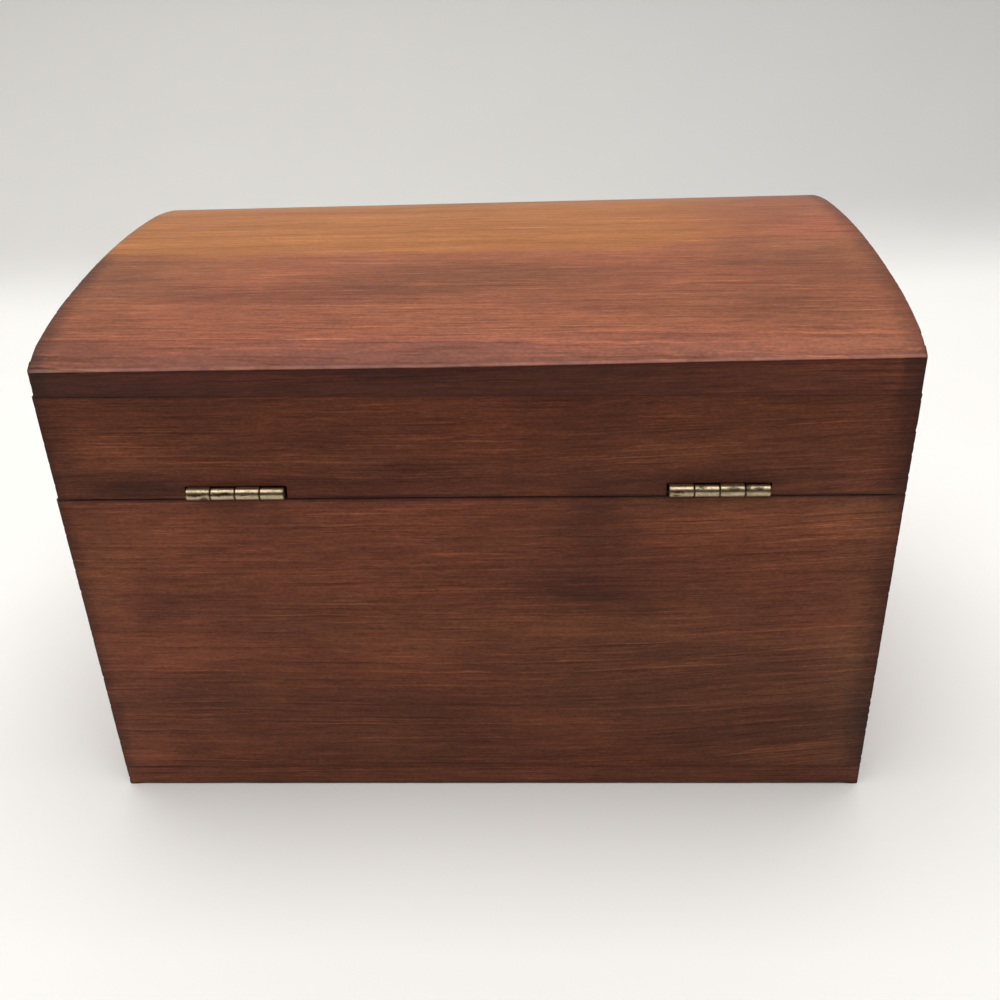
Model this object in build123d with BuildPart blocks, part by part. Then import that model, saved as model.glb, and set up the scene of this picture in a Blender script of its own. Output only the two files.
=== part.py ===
from build123d import *
import os

# Hinged wooden box for 3 x 5 in recipe cards. Millimetres, +Z up.
# The origin is the middle of the underside. The front faces -Y, the hinges are
# on the back (+Y), and left and right are as seen from the front (-X, +X).

os.makedirs("parts", exist_ok=True)

# ---------------------------------------------------------------- dimensions
width = 162.0  # body, along X
depth = 103.5  # body and lid, along Y
bottom_t = 5.2  # bottom board
wall_t = 7.0  # front, back and side panels, body and lid alike
rabbet_depth = 3.5  # step cut into the ends of the front and back panels
seam_z = 73.16  # where the closed box was sawn into body and lid, at the middle
seam_rise = 1.02  # the saw cut climbs that much from the left end to the right
ease = 0.5  # softened outside corners
seam_ease = 0.22  # softened edges along the saw cut

lid_left_x = -81.0  # ends of the lid rails: flush with the body on the left,
lid_right_x = 80.65  # sanded a touch narrower on the right
joint_z = 94.25  # underside of the top board, at the middle of the box
joint_rise = 2.31  # the top board's edge is that much thinner at the right end

top_left_x = -80.8  # ends of the top board, sanded back from the rails
top_right_x = 80.30
top_edge_z = 100.2  # where the upright edge of the top board meets the dome
dome_rise = 7.37  # at the middle
# Half of the dome is three arcs in a row, each tangent to the next: a nearly
# flat crown, a flank, and a quick round shoulder (21 mm) down to the edge.
crown_r, crown_turn = 306.5, 5.05
flank_r, flank_turn = 129.9, 7.55

# 19 mm (3/4 in) butt hinges, four knuckles each
hinge_xs = {"left": -46.15, "right": 45.5}
hinge_len = 19.0
knuckle_count = 4
knuckle_gap = 0.12  # end play between neighbouring knuckles
knuckle_ease = 0.12  # softened rims of the knuckles
strip_inset = 0.08  # the strip behind a knuckle is that much narrower each side
barrel_r = 1.20
leaf_t = 0.70
bore_r = barrel_r - leaf_t
pin_r = 0.45
axis_out = 0.42  # pin axis, outside the back face
axis_up = 1.40  # pin axis, above the saw cut
leaf_reach = 7.3  # free edge of a leaf from the pin axis
leaf_clear = 0.18  # leaf edge to the other leaf's knuckles
roll_slit = 0.08  # where the rolled strip comes back to its own leaf

# gains for the closed hinges, sawn through the back rail of the lid
gain_len = 19.6
gain_depth = 2 * axis_up

# countersunk screws, two in each leaf
screw_pitch = 11.0  # along the leaf
screw_in = 4.2  # from the pin axis to the row of screws
screw_len = 6.2
screw_r = 0.75
screw_head_r = 1.41
hole_r = 0.80
sink_r = 1.45
pilot_r = 0.77
slot_w = 0.38
slot_depth = 0.36

joint_plane = Plane(
    origin=(0, 0, joint_z), x_dir=(width, 0, joint_rise), z_dir=(-joint_rise, 0, width)
)
rail_blank_z = joint_z + joint_rise  # rails before their tops are cut to the joint
# Everything along the saw cut is square to it: the rims, the gains and the hinges.
seam_plane = Plane(
    origin=(0, 0, seam_z), x_dir=(width, 0, seam_rise), z_dir=(-seam_rise, 0, width)
)
seam_up = Axis(seam_plane.origin, seam_plane.z_dir)
cross_plane = Plane(  # across the hinges: its x is +Y, its y is up from the cut
    origin=seam_plane.origin, x_dir=(0, 1, 0), z_dir=seam_plane.x_dir
)
back_y = depth / 2
front_y = -depth / 2
axis_y = back_y + axis_out
pin_plane = Plane(  # through the common axis of both pins, which is its x
    origin=seam_plane.from_local_coords((0, axis_y, axis_up)),
    x_dir=seam_plane.x_dir,
    z_dir=(0, -1, 0),
)
pin_axis = Axis(pin_plane.origin, pin_plane.x_dir)
body_blank_z = seam_z + seam_rise  # panels before they are cut at the seam
lid_blank_z = seam_z - seam_rise
knuckle_pitch = hinge_len / knuckle_count
knuckle_len = knuckle_pitch - knuckle_gap
screw_y = axis_y - screw_in
screw_spots = [
    (hinge_x + side * screw_pitch / 2, screw_y)
    for hinge_x in hinge_xs.values()
    for side in (-1, 1)
]

# ---------------------------------------------------------------- body
# The bottom board runs under all four walls, flush with their outside faces.
with BuildPart() as bottom_board:
    with BuildSketch(Plane.XY) as footprint:
        Rectangle(width, depth)
    extrude(amount=bottom_t)
    fillet(bottom_board.edges().filter_by(Axis.Z), radius=ease)
    chamfer(bottom_board.faces().sort_by(Axis.Z)[0].edges(), length=0.35)
bottom_board.part.label = "bottom_board"
export_step(bottom_board.part, "parts/bottom_board.step")

# The front and back panels run the full width. A rabbet across each end of the
# inside face takes the side panel.
with BuildPart() as body_back_panel:
    with BuildSketch(Plane.XY.offset(bottom_t)) as outline:
        with Locations((0, back_y - wall_t / 2)):
            Rectangle(width, wall_t)
        with Locations(
            (-width / 2 + wall_t / 2, back_y - wall_t + (wall_t - rabbet_depth) / 2),
            (width / 2 - wall_t / 2, back_y - wall_t + (wall_t - rabbet_depth) / 2),
        ):
            Rectangle(wall_t, wall_t - rabbet_depth, mode=Mode.SUBTRACT)
    extrude(amount=body_blank_z - bottom_t)
    split(bisect_by=seam_plane, keep=Keep.BOTTOM)
    fillet(
        body_back_panel.edges().filter_by(Axis.Z).group_by(Axis.Y)[-1],
        radius=ease,
    )
    rim = body_back_panel.faces().sort_by(Axis.Z)[-1]
    chamfer(rim.edges().sort_by(Axis.Y)[-1], length=seam_ease)
    # pilot holes for the screws of the body leaves
    with BuildSketch(seam_plane) as pilots:
        with Locations(*screw_spots):
            Circle(pilot_r)
    extrude(amount=-screw_len, mode=Mode.SUBTRACT)
body_back_panel.part.label = "body_back_panel"
export_step(body_back_panel.part, "parts/body_back_panel.step")

with BuildPart() as body_front_panel:
    with BuildSketch(Plane.XY.offset(bottom_t)) as outline:
        with Locations((0, front_y + wall_t / 2)):
            Rectangle(width, wall_t)
        with Locations(
            (-width / 2 + wall_t / 2, front_y + wall_t - (wall_t - rabbet_depth) / 2),
            (width / 2 - wall_t / 2, front_y + wall_t - (wall_t - rabbet_depth) / 2),
        ):
            Rectangle(wall_t, wall_t - rabbet_depth, mode=Mode.SUBTRACT)
    extrude(amount=body_blank_z - bottom_t)
    split(bisect_by=seam_plane, keep=Keep.BOTTOM)
    fillet(
        body_front_panel.edges().filter_by(Axis.Z).group_by(Axis.Y)[0],
        radius=ease,
    )
    rim = body_front_panel.faces().sort_by(Axis.Z)[-1]
    chamfer(rim.edges().sort_by(Axis.Y)[0], length=seam_ease)
body_front_panel.part.label = "body_front_panel"
export_step(body_front_panel.part, "parts/body_front_panel.step")

# The side panels stand between the rabbets.
side_len = depth - 2 * rabbet_depth
with BuildPart() as body_left_side:
    with BuildSketch(Plane.XY.offset(bottom_t)) as outline:
        with Locations((-width / 2 + wall_t / 2, 0)):
            Rectangle(wall_t, side_len)
    extrude(amount=body_blank_z - bottom_t)
    split(bisect_by=seam_plane, keep=Keep.BOTTOM)
    rim = body_left_side.faces().sort_by(Axis.Z)[-1]
    chamfer(rim.edges().filter_by(Axis.Y).sort_by(Axis.X)[0], length=seam_ease)
body_left_side.part.label = "body_left_side"
export_step(body_left_side.part, "parts/body_left_side.step")

with BuildPart() as body_right_side:
    with BuildSketch(Plane.XY.offset(bottom_t)) as outline:
        with Locations((width / 2 - wall_t / 2, 0)):
            Rectangle(wall_t, side_len)
    extrude(amount=body_blank_z - bottom_t)
    split(bisect_by=seam_plane, keep=Keep.BOTTOM)
    rim = body_right_side.faces().sort_by(Axis.Z)[-1]
    chamfer(rim.edges().filter_by(Axis.Y).sort_by(Axis.X)[-1], length=seam_ease)
body_right_side.part.label = "body_right_side"
export_step(body_right_side.part, "parts/body_right_side.step")

# ---------------------------------------------------------------- lid
# The lid rails are the sawn-off tops of the same panels, so their corners are
# rabbeted in the same way. The lid's inside lines up with the body's. Their tops
# fall slightly to the left, where the top board's edge is thicker.
inner_x = width / 2 - wall_t
lid_mid_x = (lid_left_x + lid_right_x) / 2
lid_width = lid_right_x - lid_left_x
lid_left_t = -inner_x - lid_left_x
lid_right_t = lid_right_x - inner_x

with BuildPart() as lid_back_rail:
    with BuildSketch(Plane.XY.offset(lid_blank_z)) as outline:
        with Locations((lid_mid_x, back_y - wall_t / 2)):
            Rectangle(lid_width, wall_t)
        with Locations(
            (-inner_x - wall_t / 2, back_y - wall_t + (wall_t - rabbet_depth) / 2),
            (inner_x + wall_t / 2, back_y - wall_t + (wall_t - rabbet_depth) / 2),
        ):
            Rectangle(wall_t, wall_t - rabbet_depth, mode=Mode.SUBTRACT)
    extrude(amount=rail_blank_z - lid_blank_z)
    split(bisect_by=seam_plane, keep=Keep.TOP)
    fillet(
        lid_back_rail.edges().filter_by(Axis.Z).group_by(Axis.Y)[-1],
        radius=ease,
    )
    rim = lid_back_rail.faces().sort_by(Axis.Z)[0]
    chamfer(rim.edges().sort_by(Axis.Y)[-1], length=seam_ease)
    # gains that take the folded hinges, open to the back, the inside and below
    with BuildSketch(seam_plane.offset(-0.5)) as gains:
        with Locations(*[(x, back_y - wall_t / 2) for x in hinge_xs.values()]):
            Rectangle(gain_len, wall_t + 2)
    extrude(amount=gain_depth + 0.5, mode=Mode.SUBTRACT)
    # pilot holes up into the rail for the screws of the lid leaves
    with BuildSketch(seam_plane.offset(gain_depth)) as pilots:
        with Locations(*screw_spots):
            Circle(pilot_r)
    extrude(amount=screw_len, mode=Mode.SUBTRACT)
    split(bisect_by=joint_plane, keep=Keep.BOTTOM)
lid_back_rail.part.label = "lid_back_rail"
export_step(lid_back_rail.part, "parts/lid_back_rail.step")

with BuildPart() as lid_front_rail:
    with BuildSketch(Plane.XY.offset(lid_blank_z)) as outline:
        with Locations((lid_mid_x, front_y + wall_t / 2)):
            Rectangle(lid_width, wall_t)
        with Locations(
            (-inner_x - wall_t / 2, front_y + wall_t - (wall_t - rabbet_depth) / 2),
            (inner_x + wall_t / 2, front_y + wall_t - (wall_t - rabbet_depth) / 2),
        ):
            Rectangle(wall_t, wall_t - rabbet_depth, mode=Mode.SUBTRACT)
    extrude(amount=rail_blank_z - lid_blank_z)
    split(bisect_by=seam_plane, keep=Keep.TOP)
    fillet(
        lid_front_rail.edges().filter_by(Axis.Z).group_by(Axis.Y)[0],
        radius=ease,
    )
    rim = lid_front_rail.faces().sort_by(Axis.Z)[0]
    chamfer(rim.edges().sort_by(Axis.Y)[0], length=seam_ease)
    split(bisect_by=joint_plane, keep=Keep.BOTTOM)
lid_front_rail.part.label = "lid_front_rail"
export_step(lid_front_rail.part, "parts/lid_front_rail.step")

with BuildPart() as lid_left_side:
    with BuildSketch(Plane.XY.offset(lid_blank_z)) as outline:
        with Locations((-inner_x - lid_left_t / 2, 0)):
            Rectangle(lid_left_t, side_len)
    extrude(amount=rail_blank_z - lid_blank_z)
    split(bisect_by=seam_plane, keep=Keep.TOP)
    rim = lid_left_side.faces().sort_by(Axis.Z)[0]
    chamfer(rim.edges().filter_by(Axis.Y).sort_by(Axis.X)[0], length=seam_ease)
    split(bisect_by=joint_plane, keep=Keep.BOTTOM)
lid_left_side.part.label = "lid_left_side"
export_step(lid_left_side.part, "parts/lid_left_side.step")

with BuildPart() as lid_right_side:
    with BuildSketch(Plane.XY.offset(lid_blank_z)) as outline:
        with Locations((inner_x + lid_right_t / 2, 0)):
            Rectangle(lid_right_t, side_len)
    extrude(amount=rail_blank_z - lid_blank_z)
    split(bisect_by=seam_plane, keep=Keep.TOP)
    rim = lid_right_side.faces().sort_by(Axis.Z)[0]
    chamfer(rim.edges().filter_by(Axis.Y).sort_by(Axis.X)[-1], length=seam_ease)
    split(bisect_by=joint_plane, keep=Keep.BOTTOM)
lid_right_side.part.label = "lid_right_side"
export_step(lid_right_side.part, "parts/lid_right_side.step")

# The top board is flat underneath and shaped on top: quick round shoulders at
# the front and back, nearly flat over the middle. It caps all four rails.
with BuildPart() as lid_top_board:
    with BuildSketch(Plane.YZ.offset(top_left_x)) as section:
        with BuildLine() as outline:
            crown = JernArc(
                (0, top_edge_z + dome_rise), (1, 0), crown_r, -crown_turn
            )
            flank = JernArc(crown @ 1, crown % 1, flank_r, -flank_turn)
            shoulder = TangentArc(flank @ 1, (back_y, top_edge_z), tangent=flank % 1)
            Line(shoulder @ 1, (back_y, joint_z - joint_rise))
            Line((back_y, joint_z - joint_rise), (0, joint_z - joint_rise))
            mirror(about=Plane.YZ)
        make_face()
    extrude(amount=top_right_x - top_left_x)
    # softened upright corners
    fillet(
        lid_top_board.edges().filter_by(Axis.Z),
        radius=ease,
    )
    split(bisect_by=joint_plane, keep=Keep.TOP)
lid_top_board.part.label = "lid_top_board"
export_step(lid_top_board.part, "parts/lid_top_board.step")

# ---------------------------------------------------------------- hinges
# Each leaf is one strip rolled round the pin into two knuckles. The body leaf lies
# flat on the rim of the body, the lid leaf flat against the roof of its gain, and
# both point inwards when closed. The strip steps in a little before it is rolled,
# so the barrel is slimmer than the folded hinge is thick.
for side, hinge_x in hinge_xs.items():
    start_x = hinge_x - hinge_len / 2
    knuckle_xs = [
        start_x + n * knuckle_pitch + knuckle_gap / 2 for n in range(knuckle_count)
    ]
    plate_edge_y = axis_y - barrel_r - leaf_clear
    plate_mid_y = (axis_y - leaf_reach + plate_edge_y) / 2
    plate_w = plate_edge_y - (axis_y - leaf_reach)

    with BuildPart(seam_plane) as hinge_body_leaf:
        with BuildSketch(seam_plane) as plate:
            with Locations((hinge_x, plate_mid_y)):
                Rectangle(hinge_len, plate_w)
        extrude(amount=leaf_t)
        fillet(
            hinge_body_leaf.edges().filter_by(seam_up).group_by(Axis.Y)[0],
            radius=0.5,
        )
        for x in knuckle_xs[0::2]:
            with BuildSketch(pin_plane) as wall:
                with Locations((x + knuckle_len / 2, bore_r + leaf_t / 2)):
                    Rectangle(knuckle_len, leaf_t)
                fillet(wall.vertices().group_by(Axis.Y)[-1], radius=knuckle_ease)
            revolve(axis=pin_axis)
            with BuildSketch(cross_plane.offset(x + strip_inset)) as strip:
                with BuildLine():
                    Polyline(
                        (plate_edge_y - 0.5, 0),
                        (plate_edge_y, 0),
                        (axis_y, axis_up - barrel_r),
                        (axis_y, axis_up - bore_r),
                        (plate_edge_y, leaf_t),
                        (plate_edge_y - 0.5, leaf_t),
                        close=True,
                    )
                make_face()
            extrude(amount=knuckle_len - 2 * strip_inset)
            with BuildSketch(cross_plane.offset(x - 0.1)) as slit:
                with BuildLine():
                    Polyline(
                        (plate_edge_y, leaf_t),
                        (axis_y, axis_up - bore_r),
                        (axis_y, axis_up - bore_r + roll_slit),
                        (plate_edge_y, leaf_t + roll_slit),
                        close=True,
                    )
                make_face()
            extrude(amount=knuckle_len + 0.2, mode=Mode.SUBTRACT)
        with Locations(
            *[(hinge_x + s * screw_pitch / 2, screw_y, leaf_t) for s in (-1, 1)]
        ):
            CounterSinkHole(
                radius=hole_r, counter_sink_radius=sink_r, counter_sink_angle=90
            )
    hinge_body_leaf.part.label = f"{side}_hinge_body_leaf"
    export_step(hinge_body_leaf.part, f"parts/{side}_hinge_body_leaf.step")

    with BuildPart(seam_plane) as hinge_lid_leaf:
        with BuildSketch(seam_plane.offset(gain_depth - leaf_t)) as plate:
            with Locations((hinge_x, plate_mid_y)):
                Rectangle(hinge_len, plate_w)
        extrude(amount=leaf_t)
        fillet(
            hinge_lid_leaf.edges().filter_by(seam_up).group_by(Axis.Y)[0],
            radius=0.5,
        )
        for x in knuckle_xs[1::2]:
            with BuildSketch(pin_plane) as wall:
                with Locations((x + knuckle_len / 2, bore_r + leaf_t / 2)):
                    Rectangle(knuckle_len, leaf_t)
                fillet(wall.vertices().group_by(Axis.Y)[-1], radius=knuckle_ease)
            revolve(axis=pin_axis)
            with BuildSketch(cross_plane.offset(x + strip_inset)) as strip:
                with BuildLine():
                    Polyline(
                        (plate_edge_y - 0.5, gain_depth),
                        (plate_edge_y, gain_depth),
                        (axis_y, axis_up + barrel_r),
                        (axis_y, axis_up + bore_r),
                        (plate_edge_y, gain_depth - leaf_t),
                        (plate_edge_y - 0.5, gain_depth - leaf_t),
                        close=True,
                    )
                make_face()
            extrude(amount=knuckle_len - 2 * strip_inset)
            with BuildSketch(cross_plane.offset(x - 0.1)) as slit:
                with BuildLine():
                    Polyline(
                        (plate_edge_y, gain_depth - leaf_t),
                        (axis_y, axis_up + bore_r),
                        (axis_y, axis_up + bore_r - roll_slit),
                        (plate_edge_y, gain_depth - leaf_t - roll_slit),
                        close=True,
                    )
                make_face()
            extrude(amount=knuckle_len + 0.2, mode=Mode.SUBTRACT)
        # the screws go up into the lid, so the sinks open downwards
        with Locations(
            *[
                Location(
                    (hinge_x + s * screw_pitch / 2, screw_y, gain_depth - leaf_t),
                    (180, 0, 0),
                )
                for s in (-1, 1)
            ]
        ):
            CounterSinkHole(
                radius=hole_r, counter_sink_radius=sink_r, counter_sink_angle=90
            )
    hinge_lid_leaf.part.label = f"{side}_hinge_lid_leaf"
    export_step(hinge_lid_leaf.part, f"parts/{side}_hinge_lid_leaf.step")

    # The pin is cut flush with the barrel and lightly rounded at both ends.
    with BuildPart() as hinge_pin:
        with BuildSketch(cross_plane.offset(start_x + 0.04)) as pin_section:
            with Locations((axis_y, axis_up)):
                Circle(pin_r)
        extrude(amount=hinge_len - 0.08)
        fillet(hinge_pin.edges().filter_by(GeomType.CIRCLE), radius=0.15)
    hinge_pin.part.label = f"{side}_hinge_pin"
    export_step(hinge_pin.part, f"parts/{side}_hinge_pin.step")

    # Slotted countersunk wood screws, pointing down into the body.
    with BuildPart() as hinge_body_screws:
        for s in (-1, 1):
            with BuildSketch(
                Plane(
                    origin=seam_plane.from_local_coords(
                        (hinge_x + s * screw_pitch / 2, screw_y, leaf_t)
                    ),
                    x_dir=seam_plane.x_dir,
                    z_dir=(0, -1, 0),
                )
            ) as profile:
                with BuildLine():
                    Polyline(
                        (0, 0.12),
                        (screw_head_r - 0.12, 0.12),
                        (screw_head_r, 0),
                        (screw_r, screw_r - screw_head_r),
                        (screw_r, 1.4 - screw_len),
                        (0, 0.25 - screw_len),
                        close=True,
                    )
                make_face()
            revolve(
                axis=Axis(
                    seam_plane.from_local_coords(
                        (hinge_x + s * screw_pitch / 2, screw_y, leaf_t)
                    ),
                    seam_plane.z_dir,
                )
            )
        for s, turn in ((-1, 20), (1, 65)):
            with BuildSketch(seam_plane.offset(leaf_t + 0.2)) as slot:
                with Locations(
                    Location((hinge_x + s * screw_pitch / 2, screw_y, 0), (0, 0, turn))
                ):
                    Rectangle(2 * screw_head_r + 0.4, slot_w)
            extrude(amount=-(slot_depth + 0.08), mode=Mode.SUBTRACT)
    hinge_body_screws.part.label = f"{side}_hinge_body_screws"
    export_step(hinge_body_screws.part, f"parts/{side}_hinge_body_screws.step")

    # The same screws, pointing up into the lid.
    with BuildPart() as hinge_lid_screws:
        for s in (-1, 1):
            with BuildSketch(
                Plane(
                    origin=seam_plane.from_local_coords(
                        (hinge_x + s * screw_pitch / 2, screw_y, gain_depth - leaf_t)
                    ),
                    x_dir=seam_plane.x_dir,
                    z_dir=(0, -1, 0),
                )
            ) as profile:
                with BuildLine():
                    Polyline(
                        (0, -0.12),
                        (screw_head_r - 0.12, -0.12),
                        (screw_head_r, 0),
                        (screw_r, screw_head_r - screw_r),
                        (screw_r, screw_len - 1.4),
                        (0, screw_len - 0.25),
                        close=True,
                    )
                make_face()
            revolve(
                axis=Axis(
                    seam_plane.from_local_coords(
                        (hinge_x + s * screw_pitch / 2, screw_y, gain_depth - leaf_t)
                    ),
                    seam_plane.z_dir,
                )
            )
        for s, turn in ((-1, 110), (1, 35)):
            with BuildSketch(seam_plane.offset(gain_depth - leaf_t - 0.2)) as slot:
                with Locations(
                    Location((hinge_x + s * screw_pitch / 2, screw_y, 0), (0, 0, turn))
                ):
                    Rectangle(2 * screw_head_r + 0.4, slot_w)
            extrude(amount=slot_depth + 0.08, mode=Mode.SUBTRACT)
    hinge_lid_screws.part.label = f"{side}_hinge_lid_screws"
    export_step(hinge_lid_screws.part, f"parts/{side}_hinge_lid_screws.step")
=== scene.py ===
import math

import bmesh
import bpy
import numpy as np
from mathutils import Matrix, Vector


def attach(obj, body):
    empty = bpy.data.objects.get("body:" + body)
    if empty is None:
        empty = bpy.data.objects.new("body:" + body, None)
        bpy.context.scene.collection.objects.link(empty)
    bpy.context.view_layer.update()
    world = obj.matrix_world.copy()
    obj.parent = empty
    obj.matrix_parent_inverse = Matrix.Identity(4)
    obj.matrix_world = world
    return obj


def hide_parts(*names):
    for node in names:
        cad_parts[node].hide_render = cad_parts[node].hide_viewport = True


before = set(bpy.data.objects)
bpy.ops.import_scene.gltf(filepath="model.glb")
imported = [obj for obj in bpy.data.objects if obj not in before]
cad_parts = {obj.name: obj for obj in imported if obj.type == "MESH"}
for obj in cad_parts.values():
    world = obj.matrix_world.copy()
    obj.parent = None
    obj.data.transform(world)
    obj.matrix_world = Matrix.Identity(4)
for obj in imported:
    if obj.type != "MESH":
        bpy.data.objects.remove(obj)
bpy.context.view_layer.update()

MM = 0.001

# ------------------------------------------------------------------ numbers, in mm
W, D = 162.0, 103.5  # body
HX, HY = W / 2, D / 2
BOT = 5.2  # bottom board
WALL = 7.0
RAB = 3.5  # what the rabbet leaves at the ends of the front and back panels
SEAM, SRISE = 73.16, 1.02 / 162  # saw cut between body and lid, and its slope along X
LXL, LXR = -81.0, 80.65  # ends of the lid rails
IX = HX - WALL  # inside, half width
IY = HY - WALL
JOINT, JRISE = 94.25, 2.31 / 162  # underside of the top board, and its slope along X
TLX, TRX = -80.8, 80.30  # ends of the top board
TOPE, CROWN = 100.2, 7.37  # upright edge of the top board, rise of the dome
HINGES = {"left": -46.15, "right": 45.5}
GAIN, GAIN_H = 9.8, 2.8  # half length and height of the gains over the hinges


def joint_z(x, y=0):
    return JOINT + JRISE * x + 0 * y


def seam_z(x, y=0):
    return SEAM + SRISE * x + 0 * y


def dome(y):
    """Height of the dome: three tangent arcs each side of the middle."""
    s = np.abs(np.asarray(y, float))
    r3, a3 = 306.5, math.radians(5.05)
    r2, a2 = 129.9, math.radians(7.55)
    x1, d1 = r3 * math.sin(a3), r3 * (1 - math.cos(a3))
    cx2, cd2 = x1 - r2 * math.sin(a3), d1 + r2 * math.cos(a3)
    a23 = a3 + a2
    x2, d2 = cx2 + r2 * math.sin(a23), cd2 - r2 * math.cos(a23)
    # the last arc is tangent there and ends on the edge
    ex, ed = HY - x2, CROWN - d2
    n = np.array([-math.sin(a23), math.cos(a23)])
    r1 = (ex * ex + ed * ed) / (2 * (ex * n[0] + ed * n[1]))
    cx1, cd1 = x2 + r1 * n[0], d2 + r1 * n[1]
    drop = np.where(
        s < x1,
        r3 - np.sqrt(np.maximum(r3**2 - s**2, 0)),
        np.where(
            s < x2,
            cd2 - np.sqrt(np.maximum(r2**2 - (s - cx2) ** 2, 0)),
            cd1 - np.sqrt(np.maximum(r1**2 - (s - cx1) ** 2, 0)),
        ),
    )
    return TOPE + CROWN - drop


# ------------------------------------------------------------------ seeded noise
def _hash(i, j, seed):
    h = (
        i.astype(np.int64) * 374761393
        + j.astype(np.int64) * 668265263
        + int(seed) * 974634777
    ) & 0xFFFFFFFF
    h = ((h ^ (h >> 13)) * 1274126177) & 0xFFFFFFFF
    h = ((h ^ (h >> 16)) * 2246822519) & 0xFFFFFFFF
    return ((h ^ (h >> 15)) & 0xFFFFFF) / float(0xFFFFFF)


def noise2(u, v, seed):
    """Smooth value noise, -1 to 1."""
    u, v = np.broadcast_arrays(np.asarray(u, float), np.asarray(v, float))
    i, j = np.floor(u), np.floor(v)
    a, b = u - i, v - j
    a, b = a * a * (3 - 2 * a), b * b * (3 - 2 * b)
    n = (
        _hash(i, j, seed) * (1 - a) * (1 - b)
        + _hash(i + 1, j, seed) * a * (1 - b)
        + _hash(i, j + 1, seed) * (1 - a) * b
        + _hash(i + 1, j + 1, seed) * a * b
    )
    return 2 * n - 1


def fbm(u, v, seed, octaves=3, gain=0.55):
    total, amp, norm = 0.0, 1.0, 0.0
    for k in range(octaves):
        total = total + amp * noise2(u * 2.03**k + 17.3 * k, v * 2.03**k + 9.1 * k, seed + 31 * k)
        norm += amp
        amp *= gain
    return total / norm


def smooth(lo, hi, x):
    t = np.clip((x - lo) / (hi - lo), 0, 1)
    return t * t * (3 - 2 * t)


def sawteeth(t, seed, pitch=2.3, deepest=0.24):
    """Tear-outs along a sawn and sanded arris: each starts abruptly and runs out."""
    t = np.asarray(t, float) + 0.8 * noise2(np.asarray(t, float) / 5.0, 0 * t, seed + 5)
    cell = np.floor(t / pitch)
    f = t / pitch - cell
    start = 0.15 + 0.5 * _hash(cell, cell * 0 + 3, seed)
    depth = deepest * np.maximum(0, _hash(cell, cell * 0 + 7, seed) - 0.35) / 0.65
    run = 0.25 + 0.3 * _hash(cell, cell * 0 + 11, seed)
    g = (f - start) / run
    return np.where((g >= 0) & (g < 1), depth * np.maximum(1 - g, 0) ** 1.3, 0.0)


# ------------------------------------------------------------------ grain of each board
# Each board has a place across the grain and a count of growth rings, in which the
# grain's bends are already taken out. Both go to the shader, which draws the fine
# lines, and to the mesh, which carries the ridges and furrows.
def bend_back(x):
    """The grain of the back board sags in the middle and climbs to the left end."""
    u = -x
    return np.where(
        u > 8, 4.6 * (np.maximum(u - 8, 0) / 73.0) ** 1.9, 0.9 * (np.maximum(8 - u, 0) / 89.0) ** 1.6
    )


def grain_back(x, y, z):
    c = z - bend_back(x) * (0.45 + 0.75 * smooth(70, 5, z)) + 0.50 * noise2(x / 58.0, z / 16.0, 11)
    c = c + 0.14 * noise2(x / 17.0, z / 5.0, 12) + 0.35 * (y - HY)
    # rings 2 mm wide low down, closer towards the top
    r = c / 2.1 + np.maximum(c - 45, 0) * (1 / 1.3 - 1 / 2.1) + 0.30 * noise2(0 * x, c / 3.1, 13)
    return c, r


def grain_plain(seed, pitch=1.7, slope=0.012, wave=0.6):
    def field(a, b, c):
        """a along the grain, c across the face, b below it."""
        k = c + slope * a + wave * noise2(a / 52.0, c / 17.0, seed) + 0.14 * noise2(a / 15.0, c / 5.0, seed + 1)
        k = k + 0.35 * b
        return k, k / pitch + 0.6 * noise2(0 * a, k / 7.0, seed + 2)

    return field


def grain_top(x, y, z):
    # lines fall 1.3 degrees towards the back at the left end, and crowd on the shoulders
    arc = (HY - y) + 0.75 * (CROWN + TOPE - dome(y))
    c = arc - 0.0227 * x + 0.45 * noise2(x / 60.0, y / 15.0, 71) + 0.14 * noise2(x / 16.0, y / 5.0, 72)
    c = c + 0.9 * (dome(y) - z)
    return c, c / 1.5 + 0.7 * noise2(0 * x, c / 6.0, 73)


def relief_of(a, c, r, seed):
    """Ridges and furrows: +1 is a light raised line, -1 a dark sunk one."""
    k = np.floor(r)
    f = r - k
    weight = 0.25 + 0.75 * _hash(k, k * 0 + 2, seed)
    fade = 0.55 + 0.45 * noise2(a / 34.0 + 13.7 * _hash(k, k * 0, seed), k * 1.37, seed + 1)
    rings = weight * fade * (0.85 * np.exp(-(((f - 0.10) / 0.12) ** 2)) - 1.15 * f**3)
    fine = fbm(a / 26.0, c / 0.45, seed + 3, 3)
    short = np.minimum(0, noise2(a / 7.5, c / 0.40, seed + 4) + 0.42)
    light = np.maximum(0, noise2(a / 13.0, c / 0.50, seed + 6) - 0.45)
    return 0.8 * rings + 0.5 * fine + 0.6 * short + 0.9 * light


def split_line(x, z):
    """The split that runs along the back from its right end, with a raised lower lip."""
    zc = z - (42.15 - 1.0 * smooth(81, 12, x) + bend_back(x) * 0.9) - 0.18 * noise2(x / 11.0, 0 * x, 18)
    on = 0.22 + 0.78 * smooth(22, 62, x) + 0.25 * noise2(x / 9.0, 0 * x + 3, 19)
    return on, zc


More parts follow.
